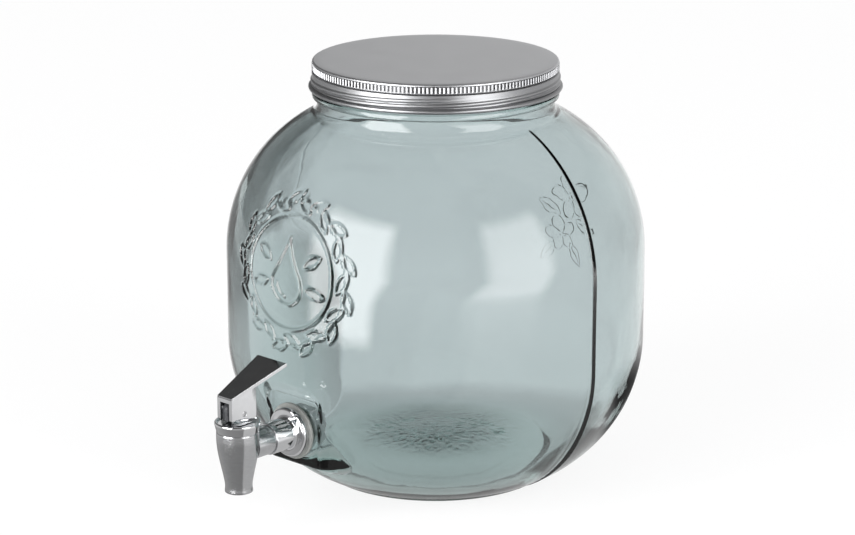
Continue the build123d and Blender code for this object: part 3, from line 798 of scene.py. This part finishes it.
# Barrel: the tap's upright body, cast in one with its spout and arm stub, bored out for the valve,
# then satin polished and chromed.
satin, tree, place = new_material("satin_chrome")
drawn = add_node(tree, "ShaderNodeMapping", {"Vector": place, "Scale": (1.0, 1.0, 14.0)}).outputs[0]
brush = speckle(tree, drawn, scale=260.0, detail=4.0)
surfaced(
    tree,
    {
        "Base Color": ramp(tree, brush, [(0.3, (0.60, 0.605, 0.615, 1)), (0.7, (0.68, 0.685, 0.695, 1))]),
        "Metallic": 1.0,
        "Roughness": ranged(tree, brush, 0.3, 0.7, 0.14, 0.22),
        "Normal": bumped(tree, brush, strength=0.04, depth=0.0002),
    },
)
barrel = (0, -163, 0)


def bell_radius(height):
    """The barrel's swelling profile: flared mouth, waist, belly and nearly straight top."""
    mouth = 8.05 - 0.5 * eased(26.0, 31.0, height)
    swell = eased(27.5, 58.0, height) ** 0.82
    return mouth + 4.65 * swell


barrel_heights = np.array(spread(26.5, 61.3, 0.6))
bell_line = [(float(r), float(h)) for r, h in zip(bell_radius(barrel_heights), barrel_heights)]
barrel_line = [(7.75, 26.0), (7.98, 26.12), *bell_line, (12.15, 61.6), (11.9, 61.8)]
barrel_line += [(10.1, 61.8), (10.1, 56.3), (7.8, 56.3), (7.8, 42.0)]
barrel_line += [(5.0, 39.5), (5.0, 30.0), (5.75, 26.2), (5.95, 26.0)]
barrel_blank = turned("barrel_blank", barrel_line, barrel, "up", 128, None)
stub_profile = rounded([(0.0, 141.0, 0), (8.5, 141.0, 0.35), (8.5, 154.0, 0), (0.0, 154.0, 0)])
socket_profile = [(0, 139.0), (7.0, 139.0), (7.0, 148.1), (4.5, 148.1), (4.5, 162.0), (0, 162.0)]
stub = shank_tool("stub_tool", stub_profile, 96)
socket = shank_tool("socket_tool", socket_profile, 72)
with_stub = ("BOOLEAN", {"operation": "UNION", "solver": "EXACT", "object": stub})
with_socket = ("BOOLEAN", {"operation": "DIFFERENCE", "solver": "EXACT", "object": socket})
barrel_mesh = worked("spout_barrel", barrel_blank, [with_stub, with_socket], 32)
bpy.data.objects.remove(stub)
bpy.data.objects.remove(socket)
settle("spout_barrel", barrel_mesh, satin, "jar", "spout_body")

# Seat cup: a moulded silicone cup, its rim clamped under the bonnet and its foot on the seat, which
# shuts the outlet until the stem lifts it.
cup_profile = rounded(
    [
        (0, 39.88, 0),
        (5.2, 39.88, 0.4),
        (6.2, 40.77, 0.4),
        (6.2, 56.3, 0.3),
        (9.9, 56.3, 0.2),
        (9.9, 57.8, 0.2),
        (5.0, 57.8, 0.3),
        (5.0, 42.38, 0.3),
        (0, 42.38, 0),
    ]
)
cup_mesh = turned("seat_cup_skin", cup_profile, barrel, "up", 72)
cup = settle("seat_cup_skin", cup_mesh, silicone, "valve", "seat_cup")
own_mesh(cup)

# Stem: a moulded dark plastic rod with a foot that sits in the cup and a domed eye at the top for
# the lever's pin.
stem_plastic, tree, place = new_material("dark_stem_plastic")
grain = speckle(tree, place, scale=700.0, detail=2.0)
surfaced(
    tree,
    {
        "Base Color": ramp(tree, grain, [(0.3, (0.045, 0.046, 0.05, 1)), (0.7, (0.075, 0.076, 0.08, 1))]),
        "Roughness": 0.4,
        "Normal": bumped(tree, grain, strength=0.12, depth=0.0002),
    },
)
settle("valve_stem", node_copy("valve_stem", "stem", 0.2, 2), stem_plastic, "valve", "stem")

# Spring: eight turns of drawn steel wire round the stem, pressed between its foot and the bonnet,
# so that the valve shuts by itself.
wire_steel, tree, place = new_material("drawn_wire_steel")
streak = speckle(tree, place, scale=1200.0, detail=3.0)
surfaced(
    tree,
    {
        "Base Color": ramp(tree, streak, [(0.3, (0.5, 0.5, 0.51, 1)), (0.7, (0.62, 0.62, 0.63, 1))]),
        "Metallic": 1.0,
        "Roughness": ranged(tree, streak, 0.3, 0.7, 0.22, 0.36),
    },
)


def geometry_tree(name, inputs):
    """A geometry tree with named inputs, as (name, socket kind, value), and its input and output nodes."""
    made = bpy.data.node_groups.new(name, "GeometryNodeTree")
    made.interface.new_socket("Geometry", in_out="INPUT", socket_type="NodeSocketGeometry")
    for label, kind, value in inputs:
        made.interface.new_socket(label, in_out="INPUT", socket_type=kind).default_value = value
    made.interface.new_socket("Geometry", in_out="OUTPUT", socket_type="NodeSocketGeometry")
    return made, add_node(made, "NodeGroupInput").outputs, add_node(made, "NodeGroupOutput")


def close_tree(tree, geometry, material, result):
    """Ends a geometry tree in real meshes of one material."""
    whole = add_node(tree, "GeometryNodeRealizeInstances", {0: geometry.outputs[0]})
    finish = add_node(tree, "GeometryNodeSetMaterial", {"Geometry": whole.outputs[0], "Material": material})
    tree.links.new(finish.outputs[0], result.inputs[0])


coil, given, result = geometry_tree(
    "spring_coil",
    [
        ("Turns", "NodeSocketFloat", 8.0),
        ("Coil Radius", "NodeSocketFloat", 4.2 * mm),
        ("Length", "NodeSocketFloat", 18.92 * mm),
        ("Wire Radius", "NodeSocketFloat", 0.4 * mm),
        ("Start", "NodeSocketVector", (0, -163 * mm, 44.83 * mm)),
    ],
)
helix = add_node(
    coil,
    "GeometryNodeCurveSpiral",
    {
        "Resolution": 40,
        "Rotations": given["Turns"],
        "Start Radius": given["Coil Radius"],
        "End Radius": given["Coil Radius"],
        "Height": given["Length"],
    },
)
section = add_node(
    coil, "GeometryNodeCurvePrimitiveCircle", {"Resolution": 10, "Radius": given["Wire Radius"]}
)
wire = add_node(
    coil, "GeometryNodeCurveToMesh", {0: helix.outputs[0], 1: section.outputs[0], "Fill Caps": True}
)
lifted = add_node(
    coil, "GeometryNodeTransform", {"Geometry": wire.outputs[0], "Translation": given["Start"]}
)
close_tree(coil, lifted, wire_steel, result)
spring_blank = bpy.data.meshes.new("spring_blank")
spring_mesh = worked("spring_wire", spring_blank, [("NODES", {"node_group": coil})], 50)
spring = settle("spring_wire", spring_mesh, wire_steel, "valve", "spring")
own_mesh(spring)

# Bonnet: the collar of turned metal, polished and chromed, that screws into the barrel's top. Its
# dished face carries the lever's cam, and its hole guides the stem.
bonnet_profile = rounded(
    [
        (3.45, 64.2, 0.15),
        (7.0, 64.2, 0),
        (7.0, 57.8, 0.2),
        (10.0, 57.8, 0.3),
        (10.0, 61.82, 0),
        (12.0, 61.82, 0.2),
        (13.1, 66.4, 1.2),
        (13.1, 68.0, 0.7),
        (11.7, 68.0, 0.5),
        (11.4, 66.8, 0.5),
        (3.45, 66.8, 0.2),
    ]
)
bonnet_mesh = turned("bonnet_collar", bonnet_profile, barrel, "up", 144)
settle("bonnet_collar", bonnet_mesh, chrome, "jar", "bonnet")

# Lever: a cast fork, chromed, with a flat sloping paddle, a cam on its front lower edge and a slot
# open to the front for the stem.
settle("lever_fork", node_copy("lever_fork", "lever", 0.22, 2), chrome, "lever", "lever")

# Lever pin: the hinge of the lever, a ground steel rod with its ends eased. It is pressed through
# the fork and turns in the stem's eye.
pin_half, pin_radius, pin_height = 6.0, 1.5, 73.1
pin_ends = [(0, -pin_half, 0), (pin_radius, -pin_half, 0.25), (pin_radius, pin_half, 0.25), (0, pin_half, 0)]
pin_mesh = turned("lever_pin_rod", rounded(pin_ends), (0, 0, 0), "up", 48)
for point in pin_mesh.vertices:
    point.co = (point.co.z, barrel[1] * mm + point.co.x, pin_height * mm + point.co.y)
settle("lever_pin_rod", pin_mesh, wire_steel, "lever", "lever_pin")

# Liner: the sealing disc of the lid, cut from a sheet of pale foamed plastic. It lies loose under
# the lid's top, which presses it onto the glass rim.
foam, tree, place = new_material("pale_liner_foam")
cells = add_node(tree, "ShaderNodeTexVoronoi", {"Vector": place, "Scale": 900.0}).outputs["Distance"]
surfaced(
    tree,
    {
        "Base Color": ramp(tree, cells, [(0.0, (0.74, 0.74, 0.72, 1)), (0.6, (0.84, 0.84, 0.82, 1))]),
        "Roughness": 0.8,
        "Normal": bumped(tree, cells, strength=0.2, depth=0.0002),
    },
)
liner_profile = rounded([(0, 247.9, 0), (70.3, 247.9, 0.4), (70.3, 249.4, 0.4), (0, 249.4, 0)])
liner_mesh = turned("liner_disc", liner_profile, (0, 0, 0), "up", 192)
settle("liner_disc", liner_mesh, foam, "liner", "lid_liner")

# Lid: spun from thin aluminium sheet and left satin, with a knurled band under its rounded edge,
# rolled screw ribs that grip the glass thread, and a curled hem.
lid_metal, tree, place = new_material("satin_aluminium")
parts = add_node(tree, "ShaderNodeSeparateXYZ", {0: place}).outputs
flat = add_node(tree, "ShaderNodeCombineXYZ", {"X": parts["X"], "Y": parts["Y"]}).outputs[0]
reach = length_of(tree, flat)
spun = add_node(tree, "ShaderNodeCombineXYZ", {"X": reach, "Y": parts["Z"]}).outputs[0]
turning = speckle(tree, spun, scale=1500.0, detail=3.0)
mottle = speckle(tree, place, scale=60.0, detail=4.0)
# Painted shade in the gaps of the knurl and painted light on its teeth's crests.
painted_knurl_shade_and_sheen = ranged(tree, reach, 0.0716, 0.0723, -0.3, 0.3)
painted_knurl_shade_and_sheen = product(tree, painted_knurl_shade_and_sheen, band(tree, parts["Z"], 0.2448, 0.2484, 0.0002))
# Painted shade: the lid's side is painted about half as bright as its top, with the knurl's painted shade and
# light added.
painted_lid_shade = sums(tree, "ADD", ranged(tree, parts["Z"], 0.2482, 0.2496, 0.46, 0.93), painted_knurl_shade_and_sheen)
tint = ramp(tree, mottle, [(0.3, (0.585, 0.59, 0.605, 1)), (0.7, (0.615, 0.62, 0.635, 1))])
surfaced(
    tree,
    {
        "Base Color": scaled(tree, tint, painted_lid_shade),
        "Metallic": 1.0,
        "Roughness": ranged(tree, sums(tree, "ADD", turning, mottle), 0.7, 1.3, 0.37, 0.41),
        "Normal": bumped(tree, turning, strength=0.05, depth=0.0002),
    },
)

lid_edge, lid_top, lid_under, lid_round = 233.0, 250.0, 249.4, 1.3
lid_turns = np.linspace(0, 2 * pi, 241)[:-1]


def thread_swell(height, turn, first, last, half, lift):
    """Radial swelling of the rolled thread: three starts that climb 9 mm a turn."""
    swell = np.zeros_like(turn)
    for thread_start in range(3):
        climb = ((np.degrees(turn) - 120 * thread_start) / 40) % thread_lead
        for lap in (-thread_lead, 0, thread_lead):
            rise = climb + lap
            off = np.abs(height - lid_edge - rise) / half
            ends = eased(first - 0.4, first + 0.5, rise) * (1 - eased(last - 0.5, last + 0.4, rise))
            swell = np.maximum(swell, lift * ends * (1 - eased(0.15, 1.0, off)))
    return swell


def plain_rows(profile):
    """Round rows of the lid from pairs of (radius, height)."""
    return [(np.full_like(lid_turns, radius), height) for radius, height in profile]


lid_rows = plain_rows((radius, lid_top) for radius in (10, 25, 40, 55, 66))
for t in np.radians(np.linspace(90, 0, 7)):
    lid_rows += plain_rows([(71.0 + lid_round * cos(t), lid_top - lid_round + lid_round * sin(t))])
lid_rows += plain_rows([(71.6, 248.3), (71.45, 246.5), (71.45, 244.9)])
lid_rows += plain_rows([(71.4, 244.5), (71.3, 244.2), (71.9, 243.9)])
for height in spread(243.5, 236.5, 0.32):
    lid_rows.append((72.45 + thread_swell(height, lid_turns, 2.6, 8.0, 1.5, 0.8), height))
lid_rows += plain_rows([(72.5, 236.2), (73.2, 235.95), (74.0, 235.6), (74.5, 235.0), (74.55, 234.3)])
lid_rows += plain_rows([(74.2, 233.6), (73.5, 233.1), (73.0, 233.0), (72.9, 233.15)])
lid_rows += plain_rows([(72.9, 235.1), (72.6, 235.4)])
for height in spread(235.7, 243.6, 0.4):
    lid_rows.append((71.05 + thread_swell(height, lid_turns, 0.8, 8.5, 1.55, 1.3), height))
lid_rows += plain_rows([(70.8, 243.9), (70.7, 244.4), (70.7, 248.9)])
lid_rows += plain_rows([(70.3, lid_under), (50, lid_under), (25, lid_under)])
lid_points = [(0, 0, lid_top * mm)]
for radius, height in lid_rows:
    lid_points += [(r * cos(t) * mm, r * sin(t) * mm, height * mm) for r, t in zip(radius, lid_turns)]
lid_points.append((0, 0, lid_under * mm))
lid_faces = [(face[0], *reversed(face[1:])) for face in row_faces(len(lid_rows), len(lid_turns))]

knurl, given, result = geometry_tree(
    "knurl_band",
    [
        ("Flutes", "NodeSocketInt", 192),
        ("Band Radius", "NodeSocketFloat", 71.75 * mm),
        ("Tooth Radius", "NodeSocketFloat", 0.72 * mm),
        ("Tooth Height", "NodeSocketFloat", 3.4 * mm),
        ("Middle", "NodeSocketVector", (0, 0, 246.6 * mm)),
    ],
)
circle = add_node(
    knurl, "GeometryNodeMeshCircle", {"Vertices": given["Flutes"], "Radius": given["Band Radius"]}
)
tooth = add_node(
    knurl,
    "GeometryNodeMeshCylinder",
    {"Vertices": 10, "Radius": given["Tooth Radius"], "Depth": given["Tooth Height"]},
    fill_type="TRIANGLE_FAN",
)
teeth = add_node(
    knurl, "GeometryNodeInstanceOnPoints", {"Points": circle.outputs[0], "Instance": tooth.outputs[0]}
)
raised = add_node(
    knurl, "GeometryNodeTransform", {"Geometry": teeth.outputs[0], "Translation": given["Middle"]}
)
joined = add_node(knurl, "GeometryNodeJoinGeometry")
knurl.links.new(raised.outputs[0], joined.inputs[0])
knurl.links.new(given["Geometry"], joined.inputs[0])
close_tree(knurl, joined, lid_metal, result)
lid_blank = shell("lid_blank", lid_points, lid_faces)
lid_mesh = worked("lid_cap", lid_blank, [("NODES", {"node_group": knurl})], 40)
settle("lid_cap", lid_mesh, lid_metal, "lid", "lid_shell")
